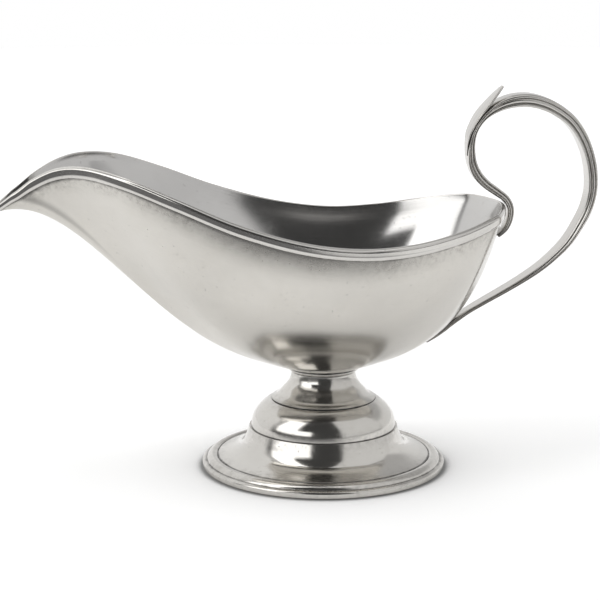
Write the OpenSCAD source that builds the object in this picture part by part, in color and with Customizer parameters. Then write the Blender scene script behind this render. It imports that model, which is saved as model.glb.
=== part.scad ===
// Pedestal sauce boat with a drooping pour lip and a high looped handle.
// Origin: foot axis at table height. Spout towards -X, handle towards +X, +Z up.

/* [Bowl] */
// Distance from the foot axis to the tip of the pour lip
spout_reach = 124.6; // [100:0.2:150]
// Distance from the foot axis to the rim at the handle end
tail_reach = 68.6; // [55:0.2:90]
// Widest half-width of the rim opening
half_width = 46; // [35:0.5:60]
// Height of the rim at its lowest point, above the table
rim_low = 95.5; // [70:0.5:120]
// Wall thickness of the bowl
wall = 1.5; // [1.2:0.1:3]
// Radius of the flat seat under the bowl
seat_r = 13.5; // [10:0.5:20]
// Height of the flat seat under the bowl
seat_z = 40.2; // [30:0.1:60]

/* [Rim moulding] */
// Height of the moulding along the sides
band_h = 4.2; // [3:0.1:7]
// Height of the moulding at the tip of the lip
band_tip_h = 2.8; // [2:0.1:4]
// How far the moulding stands out from the wall
band_out = 1.3; // [0.8:0.1:3]

/* [Foot] */
// Radius of the foot where it stands on the table
foot_r = 48; // [35:0.5:60]
// Height of the turned base below the dome
base_h = 16.2; // [12:0.1:24]
// Height of the dome's upper edge
dome_top = 27.5; // [22:0.1:36]
// Height of the joint line below the collar
collar_z = 38.8; // [34:0.1:50]
// Thickness of the hollow foot's shell
foot_wall = 2.2; // [1.5:0.1:4]
// Facets round the turned parts
round_fn = 180; // [60:12:240]

/* [Handle] */
// Scale on the strap's thickness
strap_t = 1; // [0.8:0.05:1.3]
// Scale on the strap's width
strap_w = 1; // [0.8:0.05:1.3]
// Width of the thumb leaf at its widest
leaf_w = 10.5; // [9:0.5:16]
// Clearance left for solder between the handle and the bowl
solder_gap = 0.1; // [0.02:0.02:0.4]

/* [Hidden] */

PEWTER = [0.77, 0.76, 0.73];

// ---- shared curve helpers ----

// Catmull-Rom blend of four neighbouring rows at t in 0..1
function cr(a, b, c, d, t) =
    0.5 * (2 * b + (c - a) * t + (2 * a - 5 * b + 4 * c - d) * t * t
           + (3 * b - a - 3 * c + d) * t * t * t);

// Point on a closed loop of rows
function loop_at(p, i, t) =
    let (n = len(p))
    cr(p[(i + n - 1) % n], p[i], p[(i + 1) % n], p[(i + 2) % n], t);

// Point on an open run of rows, u in 0..1
function run_at(p, u) =
    let (n = len(p) - 1,
         s = min(n - 1, floor(u * n)),
         t = u * n - s)
    cr(p[max(0, s - 1)], p[s], p[s + 1], p[min(n, s + 2)], t);

// Cubic Bezier
function bez(a, b, c, d, t) =
    let (s = 1 - t)
    s * s * s * a + 3 * s * s * t * b + 3 * s * t * t * c + t * t * t * d;

function unit(v) = v / norm(v);
function smooth(t) = let (s = max(0, min(1, t))) s * s * (3 - 2 * s);

// Side triangles between rings of n points. wrap joins the last ring to the first,
// flip turns the surface inside out and swaps the diagonals.
function skin(rings, n, wrap, flip) =
    [for (i = [0 : rings - (wrap ? 1 : 2)], j = [0 : n - 1])
        let (up = (i + 1) % rings,
             a = i * n + j,
             b = i * n + (j + 1) % n,
             c = up * n + (j + 1) % n,
             d = up * n + j)
        each (flip ? [[a, b, d], [b, c, d]] : [[a, c, b], [a, d, c]])];

// ---- rim outline ----

// Half of the rim, from the handle end to the lip.
// Columns: length fraction, width fraction, rise above rim_low,
// then the wall curve: pull at seat, slope at seat, pull at rim, slope at rim
RIM_HALF = [
    [1.000, 0.000, 8.2, 37.5, 8.0, 34, 77],
    [0.942, 0.390, 7.7, 33.5, 9.0, 32, 71],
    [0.857, 0.591, 6.8, 25.5, 10.3, 28, 73],
    [0.657, 0.809, 3.8, 15.0, 11.8, 25.5, 78],
    [0.400, 0.930, 0.8, 11.3, 12.3, 24.6, 82],
    [0.114, 0.976, 0.0, 10.1, 12.7, 25.3, 84],
    [-0.112, 1.000, 3.0, 11.6, 12.6, 27.5, 83.5],
    [-0.303, 0.959, 10.0, 16.0, 12.9, 31.3, 80.5],
    [-0.478, 0.843, 19.0, 21.0, 13.0, 34.6, 74],
    [-0.621, 0.654, 25.8, 29.5, 12.5, 38.5, 65.5],
    [-0.733, 0.402, 28.5, 40.5, 11.4, 40.0, 54],
    [-0.820, 0.213, 27.1, 49.5, 10.0, 39.0, 40],
    [-0.900, 0.100, 22.1, 54.0, 9.4, 36.0, 23],
    [-0.957, 0.065, 16.8, 54.5, 9.0, 33.0, 4],
    [-1.000, 0.000, 12.1, 55.0, 8.5, 34.5, -17]
];
HALF_ROWS = len(RIM_HALF);

function reach(f) = f < 0 ? spout_reach : tail_reach;
function placed(r, side) =
    [r[0] * reach(r[0]), side * r[1] * half_width, rim_low + r[2],
     r[3], r[4], r[5], r[6]];

// The whole rim as a closed run of rows, anticlockwise seen from above
RIM = concat(
    [for (r = RIM_HALF) placed(r, 1)],
    [for (i = [HALF_ROWS - 2 : -1 : 1]) placed(RIM_HALF[i], -1)]);

PER_SPAN = 4;
STATIONS = len(RIM) * PER_SPAN;
ROWS = [for (i = [0 : len(RIM) - 1], k = [0 : PER_SPAN - 1])
            loop_at(RIM, i, k / PER_SPAN)];

function row(j) = ROWS[(j + STATIONS) % STATIONS];

// Level unit vector pointing out of the rim at a station
function rim_out(j) =
    let (d = row(j + 1) - row(j - 1))
    unit([d[1], -d[0], 0]);

// Moulding height at a station: it thins over the last stretch of the lip
TIP_FADE = 14;
function band_at(j) =
    let (from_tip = row(j)[0] + spout_reach)
    band_tip_h + (band_h - band_tip_h) * smooth(from_tip / TIP_FADE);

// Outer end of the wall, where the moulding starts
function seam_pt(j) =
    let (r = row(j))
    [r[0], r[1], r[2] - band_at(j)] + rim_out(j) * wall;

// ---- bowl wall ----

// Outer wall point: a curve in the upright plane through the foot axis
function wall_pt(j, t) =
    let (r = row(j),
         s = seam_pt(j),
         reach_s = norm([s[0], s[1]]),
         dir = [s[0], s[1]] / reach_s,
         q = bez([seat_r, seat_z],
                 [seat_r + r[3] * cos(r[4]), seat_z + r[3] * sin(r[4])],
                 [reach_s - r[5] * cos(r[6]), s[2] - r[5] * sin(r[6])],
                 [reach_s, s[2]], t))
    [dir[0] * q[0], dir[1] * q[0], q[1]];

WALL_STEPS = 18;
WALL = [for (k = [0 : WALL_STEPS])
           [for (j = [0 : STATIONS - 1]) wall_pt(j, k / WALL_STEPS)]];

// Inward unit normal of the wall grid
function wall_in(j, k) =
    let (n = STATIONS,
         along = WALL[k][(j + 1) % n] - WALL[k][(j + n - 1) % n],
         up = WALL[min(WALL_STEPS, k + 1)][j] - WALL[max(0, k - 1)][j])
    unit(cross(up, along));

function inner_pt(j, k) = WALL[k][j] + wall_in(j, k) * wall;

// Above the seam the wall stands up to the rim's top edge and thins towards it.
EDGE_MIN = 0.55;
EDGE_REACH = 0.65;

// Direction in which the wall reaches the seam
function rise_dir(j) = unit(WALL[WALL_STEPS][j] - WALL[WALL_STEPS - 1][j]);

// Upper end of the inner wall, kept clear of the standing edge where the lip lies flat
function inner_top(j) =
    let (p = inner_pt(j, WALL_STEPS),
         d = rise_dir(j),
         o = rim_out(j),
         off = (p - WALL[WALL_STEPS][j]) * o)
    p - d * (max(0, off + EDGE_REACH * wall) / max(0.3, d * o));

// Thickness of the edge at the top: the inner wall's line is carried on upwards
function edge_t(j) =
    let (p = inner_top(j) - WALL[WALL_STEPS][j],
         d = rise_dir(j),
         o = rim_out(j),
         run = d * o / max(0.2, d[2]) * (band_at(j) - p[2]))
    max(EDGE_MIN, -(p * o) - max(0, run));

// Section of the edge: inward share of its thickness, then height fraction of the moulding
EDGE = [[0.00, 1.00], [0.25, 1.05], [0.72, 1.05], [1.00, 0.98]];
function edge_pt(j, e) =
    WALL[WALL_STEPS][j] - rim_out(j) * (e[0] * edge_t(j)) + [0, 0, e[1] * band_at(j)];

// Curve from the inner wall up to the edge, t in 0..1
function inner_rise(j, t) =
    let (p = inner_top(j),
         d = rise_dir(j),
         pull = 0.45 * band_at(j) * pow(max(0, d[2]), 2),
         e = edge_pt(j, EDGE[len(EDGE) - 1]),
         s = 1 - t)
    s * s * p + 2 * s * t * (p + d * pull) + t * t * e;
RISE_STEPS = 4;

module bowl() {
    n = STATIONS;
    outer = [for (k = [0 : WALL_STEPS], j = [0 : n - 1]) WALL[k][j]];
    edge = [for (e = EDGE, j = [0 : n - 1]) edge_pt(j, e)];
    rise = [for (k = [RISE_STEPS - 1 : -1 : 0], j = [0 : n - 1])
               inner_rise(j, k / RISE_STEPS)];
    inner = [for (k = [WALL_STEPS - 1 : -1 : 0], j = [0 : n - 1]) inner_pt(j, k)];
    rings = 2 * WALL_STEPS + 1 + len(EDGE) + RISE_STEPS;
    seat_mid = rings * n;
    floor_mid = seat_mid + 1;
    last = (rings - 1) * n;
    floor_z = inner_pt(0, 0)[2];
    color(PEWTER)
        polyhedron(
            points = concat(outer, edge, rise, inner, [[0, 0, seat_z], [0, 0, floor_z]]),
            faces = concat(
                skin(rings, n, false, false),
                [for (j = [0 : n - 1]) [seat_mid, j, (j + 1) % n]],
                [for (j = [0 : n - 1])
                    [floor_mid, last + (j + 1) % n, last + j]]),
            convexity = 10);
}

// ---- rim moulding ----

// Section of the moulding: out from the wall, then height fraction.
// A face that leans out, a flat band and a rounded top against the wall's edge
MOULD = [
    [0.00, 0.00], [0.45, 0.02], [0.62, 0.12], [0.80, 0.24], [0.95, 0.35], [1.00, 0.45],
    [1.00, 0.60], [0.98, 0.74], [0.88, 0.87], [0.62, 0.97], [0.28, 1.02], [0.00, 1.00]
];

module rim_moulding() {
    rings = [for (j = [0 : STATIONS - 1])
        let (b = WALL[WALL_STEPS][j], o = rim_out(j), h = band_at(j))
        each [for (m = MOULD) b + o * (m[0] * band_out) + [0, 0, m[1] * h]]];
    color(PEWTER)
        polyhedron(points = rings,
                   faces = skin(STATIONS, len(MOULD), true, true),
                   convexity = 10);
}

// ---- foot ----

collar_r = seat_r + 0.5;
neck_r = 12.1;
lip_r = 20.3;
dome_r = 28.6;
bore_r = 8;
bore_top = collar_z - 8;

// A turned piece from a smooth outer line and a straight-sided inner line
module turned(outer, inner) {
    steps = 4 * (len(outer) - 1);
    smooth_line = [for (k = [0 : steps]) run_at(outer, k / steps)];
    rotate_extrude($fn = round_fn)
        polygon(concat(smooth_line, inner));
}

// Ring soldered between the neck and the bowl
module foot_collar() {
    color(PEWTER)
        rotate_extrude($fn = round_fn)
            polygon([
                [0, collar_z], [neck_r + 0.5, collar_z],
                [collar_r - 0.6, collar_z + 0.15], [collar_r - 0.15, collar_z + 0.5],
                [collar_r, collar_z + 0.9], [collar_r - 0.1, seat_z],
                [0, seat_z]
            ]);
}

// Waisted neck with the flared lip that sits on the dome
module foot_neck() {
    color(PEWTER)
        turned(
            [[neck_r + 0.5, collar_z], [neck_r + 0.6, collar_z - 1.2], [neck_r + 1.1, collar_z - 3.2],
             [neck_r + 2.3, collar_z - 5.3], [neck_r + 4.0, collar_z - 7.3],
             [lip_r - 2.1, dome_top + 1.7], [lip_r - 0.4, dome_top + 0.75],
             [lip_r + 0.3, dome_top + 0.3], [lip_r, dome_top]],
            [[bore_r, dome_top], [bore_r, bore_top], [0, bore_top], [0, collar_z]]);
}

// Domed middle of the foot, hollow underneath
module foot_dome() {
    t = foot_wall;
    color(PEWTER)
        turned(
            [[lip_r - 0.1, dome_top], [lip_r + 1.5, dome_top - 0.6],
             [lip_r + 2.9, dome_top - 1.5], [lip_r + 5.1, dome_top - 3.4],
             [lip_r + 6.9, dome_top - 5.8], [dome_r - 0.4, dome_top - 8.4], [dome_r, base_h]],
            [[dome_r - t, base_h], [dome_r - t - 0.6, dome_top - 8.2],
             [lip_r + 4.4, dome_top - 5.2], [lip_r + 2.0, dome_top - 3.2],
             [lip_r - 1.0, dome_top - t], [bore_r, dome_top - t], [bore_r, dome_top]]);
}

// Stepped base with a reeded flange and a flat standing rim
module foot_base() {
    t = foot_wall;
    step_r = dome_r + 0.7;
    flange_z = 4.5;
    groove_r = foot_r - 6;
    rim_w = 4;
    upper = [for (k = [0 : 20]) run_at(
        [[step_r, base_h], [step_r + 0.8, base_h - 2.4], [step_r + 1.6, base_h - 4.8],
         [step_r + 2.6, base_h - 6.8], [step_r + 4.3, base_h - 8.5],
         [step_r + 7.2, base_h - 9.9], [groove_r - 0.5, flange_z + 0.4]], k / 20)];
    reed = [for (k = [0 : 12]) run_at(
        [[groove_r, flange_z], [groove_r + 0.9, flange_z + 0.5],
         [groove_r + 2.4, flange_z + 0.4], [groove_r + 3.7, flange_z - 0.5],
         [foot_r - 1.8, 3.15]], k / 12)];
    plate = [[foot_r - 1.3, 3.05], [foot_r - 0.4, 2.5], [foot_r, 1.5],
             [foot_r, 0.4], [foot_r - 0.4, 0]];
    under = [[foot_r - rim_w, 0], [foot_r - rim_w, 1.6],
             [groove_r - 3, flange_z - t + 0.4], [step_r + 5.9, base_h - 9.6 - t],
             [step_r + 1.3, base_h - 8.0 - t * 0.4], [step_r - t + 0.6, base_h - 5],
             [step_r - t - 0.6, base_h - 1], [step_r - t - 0.7, base_h]];
    color(PEWTER)
        rotate_extrude($fn = round_fn)
            polygon(concat(upper, reed, plate, under));
}

// ---- handle ----

// Section of the strap, inner face first: thickness fraction, width fraction.
// Three reeds run along each side
STRAP_HALF = [
    [-0.50, 0.34], [-0.43, 0.43], [-0.31, 0.45], [-0.20, 0.395], [-0.12, 0.455],
    [0.02, 0.485], [0.12, 0.46], [0.18, 0.425], [0.25, 0.47], [0.37, 0.46],
    [0.46, 0.38], [0.50, 0.24]
];
STRAP = concat(
    STRAP_HALF,
    [for (i = [len(STRAP_HALF) - 1 : -1 : 0]) [STRAP_HALF[i][0], -STRAP_HALF[i][1]]]);

// Free run of the strap: x, z, thickness, width, from the hook over the rim round to the tail
STRAP_RUN = [
    [68.9, 90.6, 1.2, 6.0], [71.9, 93.6, 1.9, 6.6], [73.5, 97.6, 2.3, 7.2],
    [73.6, 101.8, 2.5, 7.6], [71.7, 105.5, 2.8, 8.0], [67.8, 108.5, 3.2, 8.2],
    [63.6, 111.6, 3.4, 8.3], [60.2, 115.4, 3.5, 8.4], [58.2, 119.6, 3.3, 8.5],
    [57.6, 123.6, 2.9, 8.6], [57.7, 127.4, 2.4, 8.7], [58.4, 131.1, 2.0, 8.8],
    [60.0, 134.6, 1.8, 9.0], [62.5, 137.9, 2.3, 9.2], [65.9, 140.7, 3.3, 9.4],
    [70.2, 142.8, 4.3, 9.5], [75.4, 144.0, 4.9, 9.5], [81.2, 143.9, 5.1, 9.5],
    [87.2, 142.2, 5.0, 9.5], [92.8, 139.2, 4.8, 9.5], [97.8, 135.0, 4.5, 9.5],
    [101.8, 129.2, 4.3, 9.5], [104.6, 122.6, 4.1, 9.5],
    [106.2, 115.4, 4.0, 9.5], [106.4, 108.2, 3.9, 9.5], [104.8, 101.0, 3.7, 9.4],
    [101.6, 94.4, 3.4, 9.3], [97.2, 87.6, 3.0, 9.2], [91.8, 82.0, 2.6, 9.0],
    [85.4, 76.8, 2.3, 8.8], [78.2, 72.2, 2.0, 8.5], [70.8, 68.0, 1.8, 8.2],
    [63.8, 64.2, 1.7, 7.8], [57.2, 60.4, 1.6, 7.2]
];
// Where the tail lies along the bowl's end: first and last point on the wall curve
TAIL_FROM = 0.445;
TAIL_TO = 0.30;
TAIL_ROWS = 5;
TAIL_T = [1.5, 0.8];
TAIL_W = [6.6, 4.0];

function end_wall(t) = let (p = wall_pt(0, t)) [p[0], p[2]];
function tail_row(f) =
    let (t = TAIL_FROM + (TAIL_TO - TAIL_FROM) * f,
         p = end_wall(t),
         d = unit(end_wall(t + 0.01) - end_wall(t - 0.01)),
         th = TAIL_T[0] + (TAIL_T[1] - TAIL_T[0]) * f,
         q = p + [d[1], -d[0]] * (th / 2 + solder_gap))
    [q[0], q[1], th, TAIL_W[0] + (TAIL_W[1] - TAIL_W[0]) * f];

STRAP_PATH = concat(STRAP_RUN, [for (k = [0 : TAIL_ROWS - 1]) tail_row(k / (TAIL_ROWS - 1))]);

// Rings of a flat strap swept along rows of x, z, thickness, width.
// The path turns so that its left side is the outer face
function sweep(path, section, steps, ts, ws) =
    [for (k = [0 : steps])
        let (u = k / steps,
             e = 0.25 / steps,
             p = run_at(path, u),
             d = run_at(path, min(1, u + e)) - run_at(path, max(0, u - e)),
             t = unit([d[0], d[1]]),
             o = [-t[1], t[0]])
        each [for (s = section)
            [p[0] + o[0] * s[0] * p[2] * ts, s[1] * p[3] * ws,
             p[1] + o[1] * s[0] * p[2] * ts]]];

module strip(path, section, steps, ts, ws) {
    n = len(section);
    polyhedron(
        points = sweep(path, section, steps, ts, ws),
        faces = concat(
            skin(steps + 1, n, false, false),
            [[for (j = [0 : n - 1]) j]],
            [[for (j = [n - 1 : -1 : 0]) steps * n + j]]),
        convexity = 10);
}

module handle_strap() {
    color(PEWTER)
        strip(STRAP_PATH, STRAP, 120, strap_t, strap_w);
}

// Leaf on the strap that lifts off as a thumb rest: x, z, thickness, width fraction
LEAF_RUN = [
    [55.95, 122.6, 0.14, 0.40], [56.10, 127.4, 0.5, 0.64], [56.90, 131.5, 0.9, 0.80],
    [58.60, 135.4, 1.0, 0.90], [60.95, 139.1, 1.1, 0.98], [63.90, 142.6, 1.2, 0.92],
    [66.90, 146.0, 1.2, 0.68], [68.90, 148.2, 1.0, 0.42], [70.20, 149.5, 0.8, 0.20]
];
LEAF = [
    [-0.5, 0.44], [-0.1, 0.50], [0.4, 0.44], [0.5, 0.30],
    [0.5, -0.30], [0.4, -0.44], [-0.1, -0.50], [-0.5, -0.44]
];

module thumb_leaf() {
    color(PEWTER)
        strip(LEAF_RUN, LEAF, 36, 1, leaf_w);
}

bowl();
rim_moulding();
foot_collar();
foot_neck();
foot_dome();
foot_base();
handle_strap();
thumb_leaf();
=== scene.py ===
import math

import bpy
import numpy as np
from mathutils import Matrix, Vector, kdtree


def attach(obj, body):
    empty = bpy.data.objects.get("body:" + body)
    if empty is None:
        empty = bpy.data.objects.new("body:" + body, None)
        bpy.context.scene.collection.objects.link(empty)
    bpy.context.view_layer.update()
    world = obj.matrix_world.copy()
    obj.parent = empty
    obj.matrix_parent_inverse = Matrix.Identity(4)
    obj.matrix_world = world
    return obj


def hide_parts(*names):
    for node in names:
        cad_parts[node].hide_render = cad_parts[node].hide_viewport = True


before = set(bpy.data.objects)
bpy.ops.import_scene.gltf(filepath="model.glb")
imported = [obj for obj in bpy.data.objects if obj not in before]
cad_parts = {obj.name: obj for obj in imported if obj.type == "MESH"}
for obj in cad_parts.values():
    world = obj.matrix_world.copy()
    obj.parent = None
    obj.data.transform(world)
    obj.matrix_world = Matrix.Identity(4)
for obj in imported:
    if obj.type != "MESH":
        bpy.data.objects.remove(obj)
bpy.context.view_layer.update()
SCENE = bpy.context.scene
MM = 0.001

# ------------------------------------------------------------------
# Sizes. All shapes are worked out in millimetres and scaled at the end.
# The foot's axis is the origin, the spout points to -X and the handle to +X.
# ------------------------------------------------------------------

# Reach of the lip and of the handle end, half the bowl's width, the rim's lowest point
SPOUT_REACH, TAIL_REACH, HALF_WIDTH, RIM_LOW = 124.6, 68.6, 46.0, 95.5
# Wall thickness, and the seat where the bowl meets its foot
WALL_T, SEAT_R, SEAT_Z = 1.5, 13.5, 40.2
# Moulding: height, height at the lip, how far it stands out, and how far the lip's taper runs
BAND_H, BAND_TIP_H, BAND_OUT, TIP_FADE = 4.2, 2.8, 1.3, 14.0

# Half of the rim, from the handle end to the lip: length fraction, width fraction, rise,
# then the wall curve: pull and slope at the seat, pull and slope at the rim
RIM_HALF = np.array([
    [1.000, 0.000, 8.2, 37.5, 8.0, 34, 77],
    [0.942, 0.390, 7.7, 33.5, 9.0, 32, 71],
    [0.857, 0.591, 6.8, 25.5, 10.3, 28, 73],
    [0.657, 0.809, 3.8, 15.0, 11.8, 25.5, 78],
    [0.400, 0.930, 0.8, 11.3, 12.3, 24.6, 82],
    [0.114, 0.976, 0.0, 10.1, 12.7, 25.3, 84],
    [-0.112, 1.000, 3.0, 11.6, 12.6, 27.5, 83.5],
    [-0.303, 0.959, 10.0, 16.0, 12.9, 31.3, 80.5],
    [-0.478, 0.843, 19.0, 21.0, 13.0, 34.6, 74],
    [-0.621, 0.654, 25.8, 29.5, 12.5, 38.5, 65.5],
    [-0.733, 0.402, 28.5, 40.5, 11.4, 40.0, 54],
    [-0.820, 0.213, 27.1, 49.5, 10.0, 39.0, 40],
    [-0.900, 0.100, 22.1, 54.0, 9.4, 36.0, 23],
    [-0.957, 0.065, 16.8, 54.5, 9.0, 33.0, 4],
    [-1.000, 0.000, 12.1, 55.0, 8.5, 34.5, -17]])

# The wall stands up past the seam to the rim's edge, with the moulding outside it.
# Inward share of the edge's thickness, height as a share of the moulding's
EDGE = [
    [0.00, 1.00], [0.05, 1.03], [0.15, 1.05], [0.36, 1.065], [0.60, 1.065], [0.82, 1.045],
    [0.94, 1.015], [1.00, 0.97]]
# Least thickness of the edge, and the least share of the wall that lies inside the seam
EDGE_MIN, EDGE_REACH = 0.55, 0.65

# Section of the moulding: out from the wall, height, both as shares
MOULD = [
    [0.00, 0.00], [0.45, 0.02], [0.66, 0.12], [0.84, 0.22], [0.96, 0.32], [1.00, 0.42],
    [1.00, 0.60], [0.98, 0.75], [0.88, 0.88], [0.62, 0.97], [0.28, 1.02], [0.00, 1.00]]

# Foot: base's edge radius, top of the base, top of the dome, top of the neck, wall
FOOT_R, BASE_H, DOME_TOP, COLLAR_Z, FOOT_T = 48.0, 16.2, 27.5, 38.8, 2.2
# Radii of the collar, the neck's waist, its lip on the dome, and the dome's lower edge
COLLAR_R, NECK_R, LIP_R, DOME_R = SEAT_R + 0.5, 12.1, 20.3, 28.6
# Radius of the step round the dome, level and radius of the groove near the edge
STEP_R, FLANGE_Z, GROOVE_R = DOME_R + 0.7, 4.5, FOOT_R - 6
# Hollow up the middle of the neck
BORE_R, BORE_TOP = 8, COLLAR_Z - 8

# Free run of the strap: x, z, thickness, width, from the hook over the rim round to the tail
STRAP_RUN = [
    [68.9, 90.6, 1.2, 6.0], [71.9, 93.6, 1.9, 6.6], [73.5, 97.6, 2.3, 7.2],
    [73.6, 101.8, 2.5, 7.6], [71.7, 105.5, 2.8, 8.0], [67.8, 108.5, 3.2, 8.2],
    [63.6, 111.6, 3.4, 8.3], [60.2, 115.4, 3.5, 8.4], [58.2, 119.6, 3.3, 8.5],
    [57.6, 123.6, 2.9, 8.6], [57.7, 127.4, 2.4, 8.7], [58.4, 131.1, 2.0, 8.8],
    [60.0, 134.6, 1.8, 9.0], [62.5, 137.9, 2.3, 9.2], [65.9, 140.7, 3.3, 9.4],
    [70.2, 142.8, 4.3, 9.5], [75.4, 144.0, 4.9, 9.5], [81.2, 143.9, 5.1, 9.5],
    [87.2, 142.2, 5.0, 9.5], [92.8, 139.2, 4.8, 9.5], [97.8, 135.0, 4.5, 9.5],
    [101.8, 129.2, 4.3, 9.5], [104.6, 122.6, 4.1, 9.5], [106.2, 115.4, 4.0, 9.5],
    [106.4, 108.2, 3.9, 9.5], [104.8, 101.0, 3.7, 9.4], [101.6, 94.4, 3.4, 9.3],
    [97.2, 87.6, 3.0, 9.2], [91.8, 82.0, 2.6, 9.0], [85.4, 76.8, 2.3, 8.8],
    [78.2, 72.2, 2.0, 8.5], [70.8, 68.0, 1.8, 8.2], [63.8, 64.2, 1.7, 7.8],
    [57.2, 60.4, 1.6, 7.2]]
# The tail lies along the bowl's end: its first and last share of the wall curve, rows, gap,
# and its thickness and width at both ends
TAIL_FROM, TAIL_TO, TAIL_ROWS, TAIL_GAP = 0.445, 0.30, 5, 0.1
TAIL_T, TAIL_TIP_T, TAIL_W, TAIL_TIP_W = 1.5, 0.8, 6.6, 4.0

# Half sections: thickness share, width share. The strap has two grooves along each side
STRAP_HALF = [
    [-0.50, 0.34], [-0.43, 0.43], [-0.31, 0.45], [-0.20, 0.395], [-0.12, 0.455], [0.02, 0.485],
    [0.12, 0.46], [0.18, 0.425], [0.25, 0.47], [0.37, 0.46], [0.46, 0.38], [0.50, 0.24]]
STRAP_GROOVES = (3, 7)
LEAF_HALF = [
    [-0.5, 0.36], [-0.3, 0.47], [0.1, 0.495], [0.4, 0.42], [0.46, 0.22], [0.5, 0.06]]

# Thumb leaf: x, z, thickness, share of its greatest width
LEAF_W = 10.5
LEAF_RUN = np.array([
    [55.95, 122.6, 0.14, 0.40], [56.10, 127.4, 0.5, 0.64], [56.90, 131.5, 0.9, 0.80],
    [58.60, 135.4, 1.0, 0.90], [60.95, 139.1, 1.1, 0.98], [63.90, 142.6, 1.2, 0.92],
    [66.90, 146.0, 1.2, 0.68], [68.90, 148.2, 1.0, 0.42], [70.20, 149.5, 0.8, 0.20]])

# Fineness of the meshes: points per span of the rim and of a section, and rows up the wall
PER_SPAN, PER_SECTION, WALL_STEPS = 16, 4, 56
# Turned pieces that reach the axis close with a fan inside this radius
AXIS_R = 0.4
# The strap touches the bowl and the moulding only where x is beyond these
BOWL_END_X, RIM_END_X = 45, 55

# ------------------------------------------------------------------
# Curves
# ------------------------------------------------------------------


def catmull_rom(a, b, c, d, t):
    """A point between rows b and c on the smooth curve through four rows."""
    return 0.5 * (2 * b + (c - a) * t + (2 * a - 5 * b + 4 * c - d) * t * t
                  + (3 * b - a - 3 * c + d) * t ** 3)


def closed_run(rows, per):
    n = len(rows)
    return np.array([
        catmull_rom(rows[i - 1], rows[i], rows[(i + 1) % n], rows[(i + 2) % n], k / per)
        for i in range(n) for k in range(per)])


def run_at(rows, u):
    """The row at share u of an open run."""
    n = len(rows) - 1
    s = min(n - 1, int(u * n))
    return catmull_rom(rows[max(0, s - 1)], rows[s], rows[s + 1], rows[min(n, s + 2)], u * n - s)


def open_run(rows, per):
    rows = np.array(rows, float)
    n = per * (len(rows) - 1)
    return np.array([run_at(rows, k / n) for k in range(n + 1)])


def mirrored(half):
    half = np.array(half, float)
    return np.concatenate([half, half[::-1] * [1, -1]])


def smooth(t):
    t = np.clip(t, 0, 1)
    return t * t * (3 - 2 * t)


def bell(d, width):
    """1 at distance 0, fading out over the width."""
    return np.exp(-(np.asarray(d, float) / width) ** 2)


# ------------------------------------------------------------------
# Mesh pieces from grids of points
# ------------------------------------------------------------------


def lengths(grid, axis):
    """Mean running length along one axis of a grid, with the closing step."""
    step = np.linalg.norm(np.diff(grid, axis=axis, append=np.take(grid, [0], axis)), axis=2)
    return np.concatenate([[0], np.cumsum(step.mean(1 - axis))])


def skin(m, n, u, v, wrap):
    """Four-sided faces over an m by n grid, with their UV corners and the row of each."""
    rows = np.arange(m if wrap else m - 1)
    i, j = [g.ravel() for g in np.meshgrid(rows, np.arange(n), indexing="ij")]
    i2, j2 = (i + 1) % m, (j + 1) % n
    faces = np.stack([i * n + j, i * n + j2, i2 * n + j2, i2 * n + j], 1)
    corners = [np.stack([u[a], v[b]], 1) for a, b in ((j, i), (j + 1, i), (j + 1, i + 1), (j, i + 1))]
    return faces.tolist(), np.stack(corners, 1).reshape(-1, 2), list(i)


def fans(m, n, u, v):
    """Triangles from the first and last row of a grid to the two points added after it."""
    faces, uvs, rows = [], [], []
    for j in range(n):
        k = (j + 1) % n
        faces += [[m * n, k, j], [m * n + 1, (m - 1) * n + j, (m - 1) * n + k]]
        uvs += [[u[j], 0]] * 3 + [[u[j], v[m - 1]]] * 3
        rows += [0, m - 1]
    return faces, np.array(uvs), rows


def faces_inwards(verts, faces):
    """True if the closed skin's volume comes out negative."""
    tri = np.array([[p[0], p[a], p[a + 1]] for p in faces for a in range(1, len(p) - 1)])
    a, b, c = verts[tri[:, 0]], verts[tri[:, 1]], verts[tri[:, 2]]
    return np.einsum("ij,ij->i", a, np.cross(b, c)).sum() < 0


def piece(name, grid, nodes, mats, seam, stain, wrap=False, ends=None, mat_rows=None):
    """A closed skin over a grid whose columns close on themselves. wrap closes the rows too;
    otherwise ends gives the middle point of each end. seam and stain are shares of dirt, and in the
    strap's grooves and along its tail of painted shade."""
    m, n, _ = grid.shape
    u, v = lengths(grid, 1), lengths(grid, 0)
    verts = grid.reshape(-1, 3)
    faces, uvs, rows = skin(m, n, u, v, wrap)
    seam, stain = [np.broadcast_to(a, (m, n)).ravel() for a in (seam, stain)]
    if not wrap:
        end_faces, end_uvs, end_rows = fans(m, n, u, v)
        faces, rows, uvs = faces + end_faces, rows + end_rows, np.concatenate([uvs, end_uvs])
        verts = np.concatenate([verts, np.array(ends, float)])
        seam, stain = [np.append(a, [a[0], a[-1]]) for a in (seam, stain)]
    me = bpy.data.meshes.new(name)
    me.from_pydata((verts * MM).tolist(), [], faces)
    me.uv_layers.new(name="UVMap").data.foreach_set("uv", (uvs * MM).astype(np.float32).ravel())
    for key, values in (("seam", seam), ("stain", stain)):
        attribute = me.attributes.new(key, "FLOAT", "POINT")
        attribute.data.foreach_set("value", np.clip(values, 0, 1).astype(np.float32))
    for mat in mats:
        me.materials.append(mat)
    if mat_rows is not None:
        me.polygons.foreach_set("material_index", np.array([mat_rows[r] for r in rows], np.int32))
    me.polygons.foreach_set("use_smooth", np.ones(len(faces), bool))
    if faces_inwards(verts, faces):
        me.flip_normals()
    me.update()
    me.set_sharp_from_angle(angle=math.radians(42))
    ob = bpy.data.objects.new(name, me)
    SCENE.collection.objects.link(ob)
    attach(ob, "root")
    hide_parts(*nodes)
    return ob


# ------------------------------------------------------------------
# Node trees
# ------------------------------------------------------------------


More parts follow.
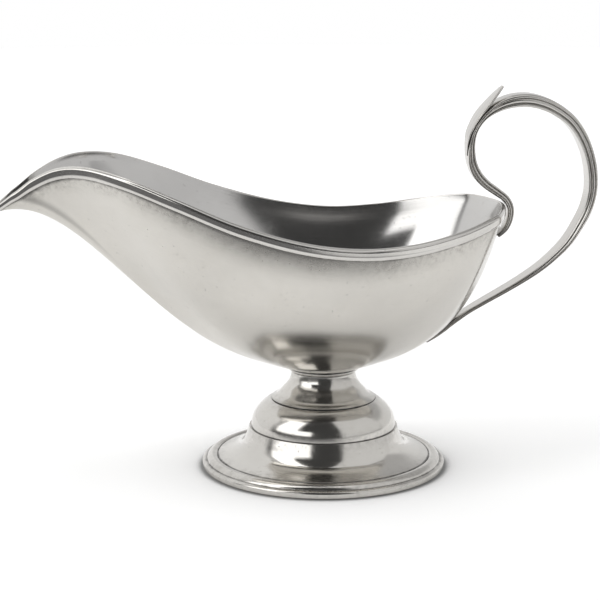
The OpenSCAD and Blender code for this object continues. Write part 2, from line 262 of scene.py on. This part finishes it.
class Graph:
    """Short calls for building a node tree."""

    def __init__(self, tree):
        self.tree = tree

    def node(self, kind, ins=(), **props):
        n = self.tree.nodes.new(kind)
        for k, v in props.items():
            setattr(n, k, v)
        for k, v in dict(ins).items():
            self.feed(n.inputs[k], v)
        return n

    def feed(self, socket, v):
        if isinstance(v, bpy.types.NodeSocket):
            self.tree.links.new(v, socket)
        else:
            socket.default_value = v

    def math(self, op, a, b=0.0):
        return self.node("ShaderNodeMath", {0: a, 1: b}, operation=op).outputs[0]

    def add(self, *terms):
        out = terms[0]
        for term in terms[1:]:
            out = self.math("ADD", out, term)
        return out

    def mul(self, a, b):
        return self.math("MULTIPLY", a, b)

    def rest(self, v):
        """What v leaves of 1."""
        return self.add(1.0, self.mul(v, -1.0))

    def swing(self, v, size):
        """A texture value moved to lie about zero, times a size."""
        return self.mul(self.add(v, -0.5), size)

    def remap(self, v, a, b, c=0.0, d=1.0, **props):
        return self.node("ShaderNodeMapRange", {0: v, 1: a, 2: b, 3: c, 4: d}, **props).outputs[0]

    def noise(self, vec, scale, detail=3.0, rough=0.5, distort=0.0):
        return self.node("ShaderNodeTexNoise", {
            "Vector": vec, "Scale": scale, "Detail": detail, "Roughness": rough,
            "Distortion": distort}).outputs[0]

    def attr(self, name):
        return self.node("ShaderNodeAttribute", attribute_name=name).outputs["Fac"]

    def mix(self, fac, a, b):
        return self.node("ShaderNodeMix", {0: fac, 6: a, 7: b}, data_type="RGBA").outputs[2]


def new_material(name):
    mat = bpy.data.materials.new(name)
    mat.use_nodes = True
    return mat, Graph(mat.node_tree), mat.node_tree.nodes["Principled BSDF"]


# ------------------------------------------------------------------
# Pewter
# ------------------------------------------------------------------

DARK = (0.045, 0.043, 0.042, 1)
WARM = (0.50, 0.475, 0.43, 1)


def shade(colour, k):
    return (*[min(1, c * k) for c in colour], 1)


def pewter(name, base, rough, brush, dent, along=26.0, across=2600.0, grain=1.0, tarnish=1.0):
    """base colour, roughness, depth of the brush marks and of the soft dents, both in metres.
    along and across are the brush marks' scales; grain and tarnish are shares of the usual."""
    mat, g, bsdf = new_material(name)
    where = g.node("ShaderNodeTexCoord").outputs["Object"]
    uv = g.node("ShaderNodeUVMap", uv_map="UVMap").outputs[0]
    lines = g.node("ShaderNodeMapping", {"Vector": uv, "Scale": (along, across, 1)}).outputs[0]
    broad = g.node("ShaderNodeMapping", {
        "Vector": uv, "Rotation": (0, 0, 0.05), "Scale": (along * 3, across * 0.35, 1)}).outputs[0]
    fine = g.noise(lines, 1.0, 3, 0.6)
    coarse = g.noise(broad, 1.0, 2, 0.5)
    cloud = g.noise(where, 24, 4, 0.55)
    patch = g.noise(where, 95, 4, 0.6, 0.4)
    grit = g.noise(where, 520, 4, 0.65)
    pits = g.remap(g.noise(where, 760, 1, 0.4), 0.735, 0.775)
    dents = g.noise(where, 46, 1, 0.4)
    small_dents = g.noise(where, 118, 1, 0.4)

    # Dirt, and in places painted shade: dark crevices with an uneven edge, mottled stains beside them, and
    # pits. The dark lines in the strap's grooves and along its tail on the bowl are painted shade.
    mottle = g.remap(g.add(g.mul(patch, 0.4), g.mul(grit, 0.6)), 0.46, 0.66)
    stain_and_painted_shade = g.mul(g.attr("stain"), g.add(0.10 * tarnish, g.mul(mottle, 0.38 * tarnish)))
    crevice = g.remap(g.add(g.attr("seam"), g.swing(grit, 0.7), g.swing(patch, 0.8)), 0.18, 0.95)
    dirt_and_painted_shade = g.math("MAXIMUM", g.mul(crevice, 0.9), stain_and_painted_shade)
    dirt_and_painted_shade = g.math("MAXIMUM", dirt_and_painted_shade, g.mul(pits, 0.5 * tarnish * grain))

    tone = g.mix(g.remap(cloud, 0.36, 0.64), shade(base, 0.94), shade(base, 1.05))
    tone = g.mix(g.mul(g.remap(patch, 0.42, 0.7), 0.22 * tarnish), tone, WARM)
    tone = g.mix(g.mul(g.remap(fine, 0.35, 0.7), 0.08), tone, shade(base, 0.8))
    g.feed(bsdf.inputs["Base Color"], g.mix(dirt_and_painted_shade, tone, DARK))
    bsdf.inputs["Metallic"].default_value = 1.0
    roughness = g.add(rough, g.swing(cloud, 0.10), g.swing(grit, 0.14 * grain),
                      g.swing(fine, 0.10), g.mul(dirt_and_painted_shade, 0.35))
    g.feed(bsdf.inputs["Roughness"], g.math("MAXIMUM", roughness, 0.07))

    height = g.add(
        g.mul(fine, brush), g.mul(coarse, brush * 1.6), g.mul(dents, dent),
        g.mul(small_dents, dent * 0.35), g.mul(grit, 1.6e-6 * grain),
        g.mul(pits, -1.0e-5 * grain), g.mul(crevice, -1.0e-5))
    bump = g.node("ShaderNodeBump", {"Strength": 1.0, "Distance": 1.0, "Height": height})
    g.feed(bsdf.inputs["Normal"], bump.outputs[0])
    return mat


PEWTER_OUT = pewter("pewter_satin", (0.605, 0.586, 0.548), 0.20, 0.8e-6, 2.5e-5,
                    grain=0.45, tarnish=0.8)
PEWTER_IN = pewter("pewter_inside", (0.58, 0.572, 0.56), 0.15, 1.0e-6, 2.5e-5,
                   along=14, across=1800, grain=0.5, tarnish=0.5)
PEWTER_RIM = pewter("pewter_rim", (0.62, 0.605, 0.58), 0.15, 0.6e-6, 1.5e-5,
                    grain=0.5, tarnish=0.8)
PEWTER_FOOT = pewter("pewter_turned", (0.63, 0.612, 0.58), 0.14, 0.7e-6, 5e-5,
                     along=10, across=2200, grain=0.9, tarnish=0.6)
PEWTER_STRAP = pewter("pewter_cast", (0.58, 0.565, 0.54), 0.19, 0.9e-6, 3e-5,
                      along=60, across=1500, grain=0.6)

# ------------------------------------------------------------------
# Shape of the bowl's wall
# ------------------------------------------------------------------

UP = np.array([0.0, 0.0, 1.0])


def unit(rows):
    return rows / np.linalg.norm(rows, axis=-1, keepdims=True)


def rim_rows():
    rows = RIM_HALF.copy()
    rows[:, 0] *= np.where(rows[:, 0] < 0, SPOUT_REACH, TAIL_REACH)
    rows[:, 1] *= HALF_WIDTH
    rows[:, 2] += RIM_LOW
    other = rows[-2:0:-1].copy()
    other[:, 1] *= -1
    return closed_run(np.concatenate([rows, other]), PER_SPAN)


ROWS = rim_rows()
ALONG = np.roll(ROWS, -1, 0)[:, :2] - np.roll(ROWS, 1, 0)[:, :2]
RIM_OUT = unit(np.stack([ALONG[:, 1], -ALONG[:, 0], 0 * ALONG[:, 0]], 1))
BAND = BAND_TIP_H + (BAND_H - BAND_TIP_H) * smooth((ROWS[:, 0] + SPOUT_REACH) / TIP_FADE)


def wall_grid(steps):
    """Points of the outer wall at the given shares of the way from the seat to the seam."""
    seam = ROWS[:, :3] - UP * BAND[:, None] + RIM_OUT * WALL_T
    reach = np.linalg.norm(seam[:, :2], axis=1)
    heading = seam[:, :2] / reach[:, None]
    pull, slope = ROWS[:, 3], np.radians(ROWS[:, 4])
    rim_pull, rim_slope = ROWS[:, 5], np.radians(ROWS[:, 6])
    t = np.asarray(steps)[:, None]
    radii = [SEAT_R + 0 * pull, SEAT_R + pull * np.cos(slope), reach - rim_pull * np.cos(rim_slope), reach]
    levels = [SEAT_Z + 0 * pull, SEAT_Z + pull * np.sin(slope),
              seam[:, 2] - rim_pull * np.sin(rim_slope), seam[:, 2]]
    shares = [(1 - t) ** 3, 3 * (1 - t) ** 2 * t, 3 * (1 - t) * t ** 2, t ** 3]
    r, z = [sum(c * q for c, q in zip(shares, points)) for points in (radii, levels)]
    return np.stack([r * heading[:, 0], r * heading[:, 1], z], 2)


OUTER = wall_grid(np.linspace(0, 1, WALL_STEPS + 1))
SEAM = OUTER[-1]
INWARD = unit(np.cross(np.gradient(OUTER, axis=0), np.roll(OUTER, -1, 1) - np.roll(OUTER, 1, 1)))
INNER = OUTER + INWARD * WALL_T


def standing_edge(rise_steps=10):
    """Rows over the rim's edge, then the rows down from it to the top of the inner wall."""
    rise = unit(OUTER[-1] - OUTER[-2])
    lean = (rise * RIM_OUT).sum(1)
    short = ((INNER[-1] - SEAM) * RIM_OUT).sum(1) + EDGE_REACH * WALL_T
    top = INNER[-1] - rise * (np.maximum(0, short) / np.maximum(0.3, lean))[:, None]
    from_seam = top - SEAM
    run = lean / np.maximum(0.2, rise[:, 2]) * (BAND - from_seam[:, 2])
    thick = np.maximum(EDGE_MIN, -(from_seam * RIM_OUT).sum(1) - np.maximum(0, run))
    edge = np.array([SEAM - RIM_OUT * (e[0] * thick)[:, None] + UP * (e[1] * BAND)[:, None] for e in EDGE])
    bend = top + rise * (0.45 * BAND * np.maximum(0, rise[:, 2]) ** 2)[:, None]
    down = [(1 - t) ** 2 * top + 2 * t * (1 - t) * bend + t * t * edge[-1]
            for t in np.linspace(0.9, 0, rise_steps)]
    return edge, np.array(down)


# ------------------------------------------------------------------
# Shape of the strap, and how near other pieces come to it
# ------------------------------------------------------------------


def strap_rows():
    """The free run, then rows that follow the bowl's end wall, thinning to the tail's tip."""
    run = list(STRAP_RUN)
    for f in np.linspace(0, 1, TAIL_ROWS):
        t = TAIL_FROM + (TAIL_TO - TAIL_FROM) * f
        before, here, after = wall_grid([t - 0.01, t, t + 0.01])[:, 0][:, [0, 2]]
        d = unit(after - before)
        thick = TAIL_T - (TAIL_T - TAIL_TIP_T) * f
        x, z = here + np.array([d[1], -d[0]]) * (thick / 2 + TAIL_GAP)
        run.append([x, z, thick, TAIL_W - (TAIL_W - TAIL_TIP_W) * f])
    return np.array(run)


def swept(path, section, steps, nose=0.5):
    """Rings along rows of x, z, thickness, width, with rounded ends of the nose's length."""
    total = np.linalg.norm(np.diff(path[:, :2], axis=0), axis=1).sum()
    angles = np.radians([12, 30, 50, 70])
    near = nose * (1 - np.cos(angles)) / total
    us = np.concatenate([near, np.linspace(nose / total, 1 - nose / total, steps + 1), 1 - near[::-1]])
    scale = np.concatenate([np.sin(angles), np.ones(steps + 1), np.sin(angles[::-1])])
    rings = []
    for u, s in zip(us, scale):
        x, z, thick, wide = run_at(path, u)
        d = unit((run_at(path, min(1, u + 0.002)) - run_at(path, max(0, u - 0.002)))[:2])
        t = section[:, 0] * thick * (0.4 + 0.6 * s if s < 1 else 1)
        w = section[:, 1] * (wide - 2 * nose * (1 - s))
        rings.append(np.stack([x - d[1] * t, w, z + d[0] * t], 1))
    grid = np.array(rings)
    return grid, [grid[0].mean(0), grid[-1].mean(0)]


STRAP_SECTION = closed_run(mirrored(STRAP_HALF), PER_SECTION)
STRAP, STRAP_ENDS = swept(strap_rows(), STRAP_SECTION, 420)

STRAP_TREE = kdtree.KDTree(STRAP.shape[0] * STRAP.shape[1])
for index, point in enumerate(STRAP.reshape(-1, 3)):
    STRAP_TREE.insert(point, index)
STRAP_TREE.balance()


def from_strap(grid, only):
    """Distance of each grid point to the strap, where only is true."""
    flat, out = grid.reshape(-1, 3), np.full(grid.shape[0] * grid.shape[1], 99.0)
    for k in np.nonzero(only.ravel())[0]:
        out[k] = STRAP_TREE.find(flat[k])[2]
    return out.reshape(grid.shape[:2])


# ------------------------------------------------------------------
# Bowl and rim moulding
# ------------------------------------------------------------------


def sauce_bowl():
    edge, down = standing_edge()
    # How far each outer point lies below the moulding, along its wall curve
    step = np.linalg.norm(np.diff(OUTER, axis=0), axis=2)
    below = np.concatenate([np.cumsum(step[::-1], 0)[::-1], np.zeros((1, OUTER.shape[1]))])
    radius = np.linalg.norm(OUTER[:, :, :2], axis=2)
    strap_gap = from_strap(OUTER, OUTER[:, :, 0] > BOWL_END_X)
    # Dirt lies under the moulding, round the collar and, as stains, beside the strap; the thin dark line
    # right along the strap is painted shadow
    seam_dirt_and_shadow_out = np.maximum.reduce([
        0.75 * bell(below, 0.55), bell(radius - COLLAR_R - 0.1, 0.8),
        0.95 * bell(strap_gap - TAIL_GAP, 0.9)])
    stain_out = np.maximum.reduce([
        bell(below, 5.5), 0.5 * bell(radius - COLLAR_R, 2.5), 0.9 * bell(strap_gap, 4)])
    stain_in = 0.3 * bell(radius, 22)
    edge_seam = 0.85 * bell(np.arange(len(edge)), 0.7)[:, None] + 0 * BAND
    clean = 0 * down[:, :, 0]
    piece("sauce_bowl", np.concatenate([OUTER, edge, down, INNER[-2::-1]]), ["bowl"],
          [PEWTER_OUT, PEWTER_RIM, PEWTER_IN],
          np.concatenate([seam_dirt_and_shadow_out, edge_seam, clean, 0 * seam_dirt_and_shadow_out[1:]]),
          np.concatenate([stain_out, edge_seam, clean, stain_in[-2::-1]]),
          ends=[[0, 0, SEAT_Z], [0, 0, INNER[0, 0, 2]]],
          mat_rows=[0] * WALL_STEPS + [1] * len(edge) + [2] * (len(down) + WALL_STEPS + 1))


def rim_bead():
    section = open_run(MOULD, PER_SECTION)
    grid = np.array([
        SEAM + RIM_OUT * (m[0] * BAND_OUT) + UP * (m[1] * BAND)[:, None] for m in section])
    around = np.arange(len(grid)) / PER_SECTION
    last = len(MOULD) - 1
    gap = from_strap(grid, grid[:, :, 0] > RIM_END_X)
    seam = np.maximum(0.9 * bell(around, 0.6), 0.75 * bell(around - last, 0.35))[:, None]
    seam = np.maximum(np.broadcast_to(seam, gap.shape), 0.95 * bell(gap - 0.3, 1.4))
    piece("rim_bead", grid, ["rim_moulding"], [PEWTER_RIM],
          seam, 0.6 * bell(around, 2)[:, None], wrap=True)


sauce_bowl()
rim_bead()

# ------------------------------------------------------------------
# Foot: turned pieces
# ------------------------------------------------------------------

# Where dirt gathers: radius, level and width of each joint and groove
CREVICES = [
    (COLLAR_R - 0.2, SEAT_Z, 0.5), (NECK_R + 0.5, COLLAR_Z, 0.55), (LIP_R, DOME_TOP, 0.5),
    (DOME_R + 0.1, BASE_H, 0.5), (GROOVE_R - 0.2, FLANGE_Z + 0.1, 0.55), (FOOT_R - 1.5, 3.1, 0.45)]


def eased(line, radius=0.18, closed=False):
    """Rounds the corners of a polyline sharper than 18 degrees with a short curve."""
    line = np.array(line, float)
    n, out = len(line), []
    for i in range(n):
        a, b, c = line[i - 1], line[i], line[(i + 1) % n]
        la, lc = np.linalg.norm(a - b), np.linalg.norm(c - b)
        if (not closed and i in (0, n - 1)) or min(la, lc) < 1e-6:
            out.append(b)
            continue
        turn = math.degrees(math.acos(np.clip(np.dot(b - a, c - b) / la / lc, -1, 1)))
        if turn < 18:
            out.append(b)
            continue
        r = min(radius, 0.4 * la, 0.4 * lc)
        p, q = b + (a - b) / la * r, b + (c - b) / lc * r
        out += [(1 - t) ** 2 * p + 2 * t * (1 - t) * b + t * t * q for t in (0, 0.25, 0.5, 0.75, 1)]
    return np.array(out)


def dense(line, step=0.6):
    """Splits long straight runs, so that colour from the joints stays local."""
    out = []
    for a, b in zip(line[:-1], line[1:]):
        k = max(1, int(np.linalg.norm(b - a) / step))
        out += [a + (b - a) * t / k for t in range(k)]
    return np.array(out + [line[-1]])


def turned(name, node, line, levels=None, sides=288):
    """A turned piece. line is its section: closed, or open between two levels on the axis."""
    line = dense(line)
    ang = np.radians(90) + 2 * math.pi * np.arange(sides) / sides
    grid = np.stack([np.outer(line[:, 0], np.cos(ang)), np.outer(line[:, 0], np.sin(ang)),
                     np.repeat(line[:, 1:2], sides, 1)], 2)
    seam, stain = np.zeros(len(line)), np.zeros(len(line))
    for r, z, width in CREVICES:
        d = np.hypot(line[:, 0] - r, line[:, 1] - z)
        seam, stain = np.maximum(seam, bell(d, width)), np.maximum(stain, bell(d, 3.2))
    ends = levels and [[0, 0, z] for z in levels]
    ob = piece(name, grid, [node], [PEWTER_FOOT],
               seam[:, None], stain[:, None], wrap=ends is None, ends=ends)
    normals = ob.modifiers.new("weighted", "WEIGHTED_NORMAL")
    normals.keep_sharp = True
    normals.weight = 80


def collar_ring():
    turned("collar_ring", "foot_collar", eased([
        [AXIS_R, COLLAR_Z], [NECK_R + 0.5, COLLAR_Z], [COLLAR_R - 0.6, COLLAR_Z + 0.15],
        [COLLAR_R - 0.15, COLLAR_Z + 0.5], [COLLAR_R, COLLAR_Z + 0.9],
        [COLLAR_R - 0.1, SEAT_Z], [AXIS_R, SEAT_Z]], 0.12), (COLLAR_Z, SEAT_Z))


def neck_flare():
    waist = open_run([
        [NECK_R + 0.5, COLLAR_Z], [NECK_R + 0.6, COLLAR_Z - 1.2], [NECK_R + 1.1, COLLAR_Z - 3.2],
        [NECK_R + 2.3, COLLAR_Z - 5.3], [NECK_R + 4.0, COLLAR_Z - 7.3],
        [LIP_R - 2.1, DOME_TOP + 1.7], [LIP_R - 0.4, DOME_TOP + 0.75],
        [LIP_R + 0.3, DOME_TOP + 0.3], [LIP_R, DOME_TOP]], 8)
    bore = [[BORE_R, DOME_TOP], [BORE_R, BORE_TOP], [AXIS_R, BORE_TOP]]
    turned("neck_flare", "foot_neck", eased(np.concatenate([[[AXIS_R, COLLAR_Z]], waist, bore])),
           (COLLAR_Z, BORE_TOP))


def dome_shell():
    outside = open_run([
        [LIP_R - 0.1, DOME_TOP], [LIP_R + 1.5, DOME_TOP - 0.6], [LIP_R + 2.9, DOME_TOP - 1.5],
        [LIP_R + 5.1, DOME_TOP - 3.4], [LIP_R + 6.9, DOME_TOP - 5.8],
        [DOME_R - 0.4, DOME_TOP - 8.4], [DOME_R, BASE_H]], 8)
    inside = [
        [DOME_R - FOOT_T, BASE_H], [DOME_R - FOOT_T - 0.6, DOME_TOP - 8.2],
        [LIP_R + 4.4, DOME_TOP - 5.2], [LIP_R + 2.0, DOME_TOP - 3.2],
        [LIP_R - 1.0, DOME_TOP - FOOT_T], [BORE_R, DOME_TOP - FOOT_T], [BORE_R, DOME_TOP]]
    turned("dome_shell", "foot_dome", eased(np.concatenate([outside, inside]), closed=True))


def base_flange():
    wall = open_run([
        [STEP_R, BASE_H], [STEP_R + 0.8, BASE_H - 2.4], [STEP_R + 1.6, BASE_H - 4.8],
        [STEP_R + 2.6, BASE_H - 6.8], [STEP_R + 4.3, BASE_H - 8.5],
        [STEP_R + 7.2, BASE_H - 9.9], [GROOVE_R - 0.5, FLANGE_Z + 0.4]], 8)
    reed = open_run([
        [GROOVE_R, FLANGE_Z], [GROOVE_R + 0.9, FLANGE_Z + 0.5], [GROOVE_R + 2.4, FLANGE_Z + 0.4],
        [GROOVE_R + 3.7, FLANGE_Z - 0.5], [FOOT_R - 1.8, 3.15]], 6)
    rim = [
        [FOOT_R - 1.1, 3.05], [FOOT_R - 0.35, 2.75], [FOOT_R, 2.2], [FOOT_R, 0.4],
        [FOOT_R - 0.4, 0], [FOOT_R - 4, 0], [FOOT_R - 4, 1.6]]
    under = [
        [GROOVE_R - 3, FLANGE_Z - FOOT_T + 0.4], [STEP_R + 5.9, BASE_H - 9.6 - FOOT_T],
        [STEP_R + 1.3, BASE_H - 8.0 - FOOT_T * 0.4], [STEP_R - FOOT_T + 0.6, BASE_H - 5],
        [STEP_R - FOOT_T - 0.6, BASE_H - 1], [STEP_R - FOOT_T - 0.7, BASE_H]]
    line = np.concatenate([wall, reed, rim, under])
    turned("base_flange", "foot_base", eased(line, 0.3, closed=True))


collar_ring()
neck_flare()
dome_shell()
base_flange()

# ------------------------------------------------------------------
# Handle
# ------------------------------------------------------------------


def strap_loop():
    around = np.arange(len(STRAP_SECTION)) / PER_SECTION
    count = 2 * len(STRAP_HALF)
    sides = [[c, count - 1 - c] for c in STRAP_GROOVES]
    # Painted shade in the side grooves: a dark line along each groove, and a broad mottled darkening
    # beside the first pair.
    painted_groove_shade = np.maximum.reduce([bell(around - c, 0.55) for pair in sides for c in pair])
    hook = bell(np.linspace(0, 270, STRAP.shape[0]), 9)[:, None]
    seam = np.maximum(0.55 * painted_groove_shade[None, :], 0.55 * hook)
    stain = np.maximum(0.3 * np.maximum.reduce([bell(around - c, 1.6) for c in sides[0]])[None, :], hook)
    piece("strap_loop", STRAP, ["handle_strap"], [PEWTER_STRAP],
          seam, stain, ends=STRAP_ENDS)


def thumb_leaf():
    section = closed_run(mirrored(LEAF_HALF), PER_SECTION)
    grid, ends = swept(LEAF_RUN * [1, 1, 1, LEAF_W], section, 90, nose=0.25)
    gap = from_strap(grid, np.ones(grid.shape[:2], bool))
    piece("thumb_leaf_blade", grid, ["thumb_leaf"], [PEWTER_STRAP],
          0.8 * bell(gap, 0.22), 0.5 * bell(gap, 0.6), ends=ends)


strap_loop()
thumb_leaf()

# ------------------------------------------------------------------
# Camera
# ------------------------------------------------------------------


def camera(azimuth=-8.0, elevation=12.6125, distance=0.850, aim=(-0.00931, 0, 0.0669025)):
    az, el = math.radians(azimuth), math.radians(elevation)
    back = Vector((math.sin(az) * math.cos(el), -math.cos(az) * math.cos(el), math.sin(el)))
    cam = bpy.data.objects.new("camera", bpy.data.cameras.new("camera"))
    SCENE.collection.objects.link(cam)
    cam.location = Vector(aim) + back * distance
    cam.rotation_mode = "QUATERNION"
    cam.rotation_quaternion = (-back).to_track_quat("-Z", "Y")
    cam.data.sensor_width = 36.0
    cam.data.lens = 130.3575
    cam.data.clip_start, cam.data.clip_end = 0.02, 100
    SCENE.camera = cam


camera()

# ------------------------------------------------------------------
# Floor and studio light
# ------------------------------------------------------------------


def flat(name, corners, mat):
    me = bpy.data.meshes.new(name)
    me.from_pydata(corners, [], [tuple(range(len(corners)))])
    me.materials.append(mat)
    ob = bpy.data.objects.new(name, me)
    SCENE.collection.objects.link(ob)
    return ob


def floor(radius=1.6, sides=96):
    """A white disc with a painted contact shadow: its colour and glow darken where the foot stands close
    to it.
    """
    mat, g, bsdf = new_material("floor_painted_contact_shadow")
    bsdf.inputs["Roughness"].default_value = 0.9
    bsdf.inputs["Specular IOR Level"].default_value = 0.1
    bsdf.inputs["Emission Strength"].default_value = 0.36
    # Painted contact shadow: occlusion within 5 cm darkens the floor's colour and glow near the foot.
    near = g.node("ShaderNodeAmbientOcclusion", {"Distance": 0.05}, samples=16)
    tone = g.remap(near.outputs["AO"], 0.62, 0.97, 0.22, 0.93)
    for name in ("Base Color", "Emission Color"):
        g.feed(bsdf.inputs[name], tone)
    corners = [(radius * math.cos(a), radius * math.sin(a), 0)
               for a in np.linspace(0, 2 * math.pi, sides, False)]
    flat("floor", corners, mat)


def low_card(x0=-1.5, x1=0.45, y0=-1.5, y1=0.5, z=0.0005):
    """The dark room beyond the table's front and left edges, which only mirror-like surfaces see."""
    mat, g, bsdf = new_material("low_card")
    pos = g.node("ShaderNodeTexCoord").outputs["Object"]
    x, y, _ = g.node("ShaderNodeSeparateXYZ", {0: pos}).outputs
    out_x = g.mul(x, 0.8)
    far = g.math("SQRT", g.add(g.mul(out_x, out_x), g.mul(y, y)))
    dark = g.mul(g.mul(g.remap(far, 0.135, 0.25), g.remap(x, 0.22, 0.04)), g.remap(y, 0.02, -0.08))
    bsdf.inputs["Base Color"].default_value = (0.07, 0.07, 0.075, 1)
    bsdf.inputs["Roughness"].default_value = 1.0
    clear = g.node("ShaderNodeBsdfTransparent").outputs[0]
    mixed = g.node("ShaderNodeMixShader", {0: g.mul(dark, 0.9), 1: clear, 2: bsdf.outputs[0]}).outputs[0]
    g.feed(g.tree.nodes["Material Output"].inputs[0], mixed)
    card = flat("low_card", [(x0, y0, z), (x1, y0, z), (x1, y1, z), (x0, y1, z)], mat)
    card.visible_camera = card.visible_diffuse = card.visible_shadow = False


# Panels round the object: azimuth from and to, elevation from and to, edge softness, brightness.
# Azimuth 0 is in front of the object, negative to the left. Later panels cover earlier ones
PANELS = [
    (98, 190, -90, 24, 6, 0.85), (-190, -100, -90, 56, 6, 1.0), (21, 100, 2, 72, 3, 0.8),
    (-90, -27, 10, 28, 3, 2.0), (-27, 20, -90, 80, 1.5, 0.065),
    (-90, -53, 24, 84, 3, 2.3), (-53, 18, 26, 80, 1.5, 0.065)]


def studio_world():
    """Soft white panels round the object, with a dark gap in front where the room shows."""
    world = bpy.data.worlds.new("studio")
    SCENE.world = world
    world.use_nodes = True
    g = Graph(world.node_tree)
    pos = g.node("ShaderNodeTexCoord").outputs["Generated"]
    x, y, z = g.node("ShaderNodeSeparateXYZ", {0: pos}).outputs
    az = g.mul(g.math("ARCTAN2", x, g.mul(y, -1.0)), 180 / math.pi)
    el = g.mul(g.math("ARCSINE", z), 180 / math.pi)

    def ramp(v, a, b):
        return g.remap(v, a, b, interpolation_type="SMOOTHSTEP")

    def between(v, a, b, soft):
        return g.mul(ramp(v, a - soft, a + soft), ramp(v, b + soft, b - soft))

    # Dim at the horizon, brighter above it, brightest overhead
    light = g.add(0.14, g.mul(ramp(el, 4, 26), 0.38), g.mul(ramp(el, 66, 80), 0.8))
    for az_from, az_to, el_from, el_to, soft, value in PANELS:
        inside = g.mul(between(az, az_from, az_to, soft), between(el, el_from, el_to, soft))
        light = g.add(g.mul(light, g.rest(inside)), g.mul(inside, value))
    seen = g.node("ShaderNodeLightPath").outputs["Is Camera Ray"]
    shown = g.add(g.mul(light, g.rest(seen)), seen)
    grey = g.node("ShaderNodeCombineColor", {0: shown, 1: shown, 2: shown}).outputs[0]
    g.feed(g.tree.nodes["Background"].inputs[0], grey)


floor()
low_card()
studio_world()
SCENE.view_settings.view_transform = "Standard"
SCENE.view_settings.look = "None"
SCENE.view_settings.exposure = 0.0
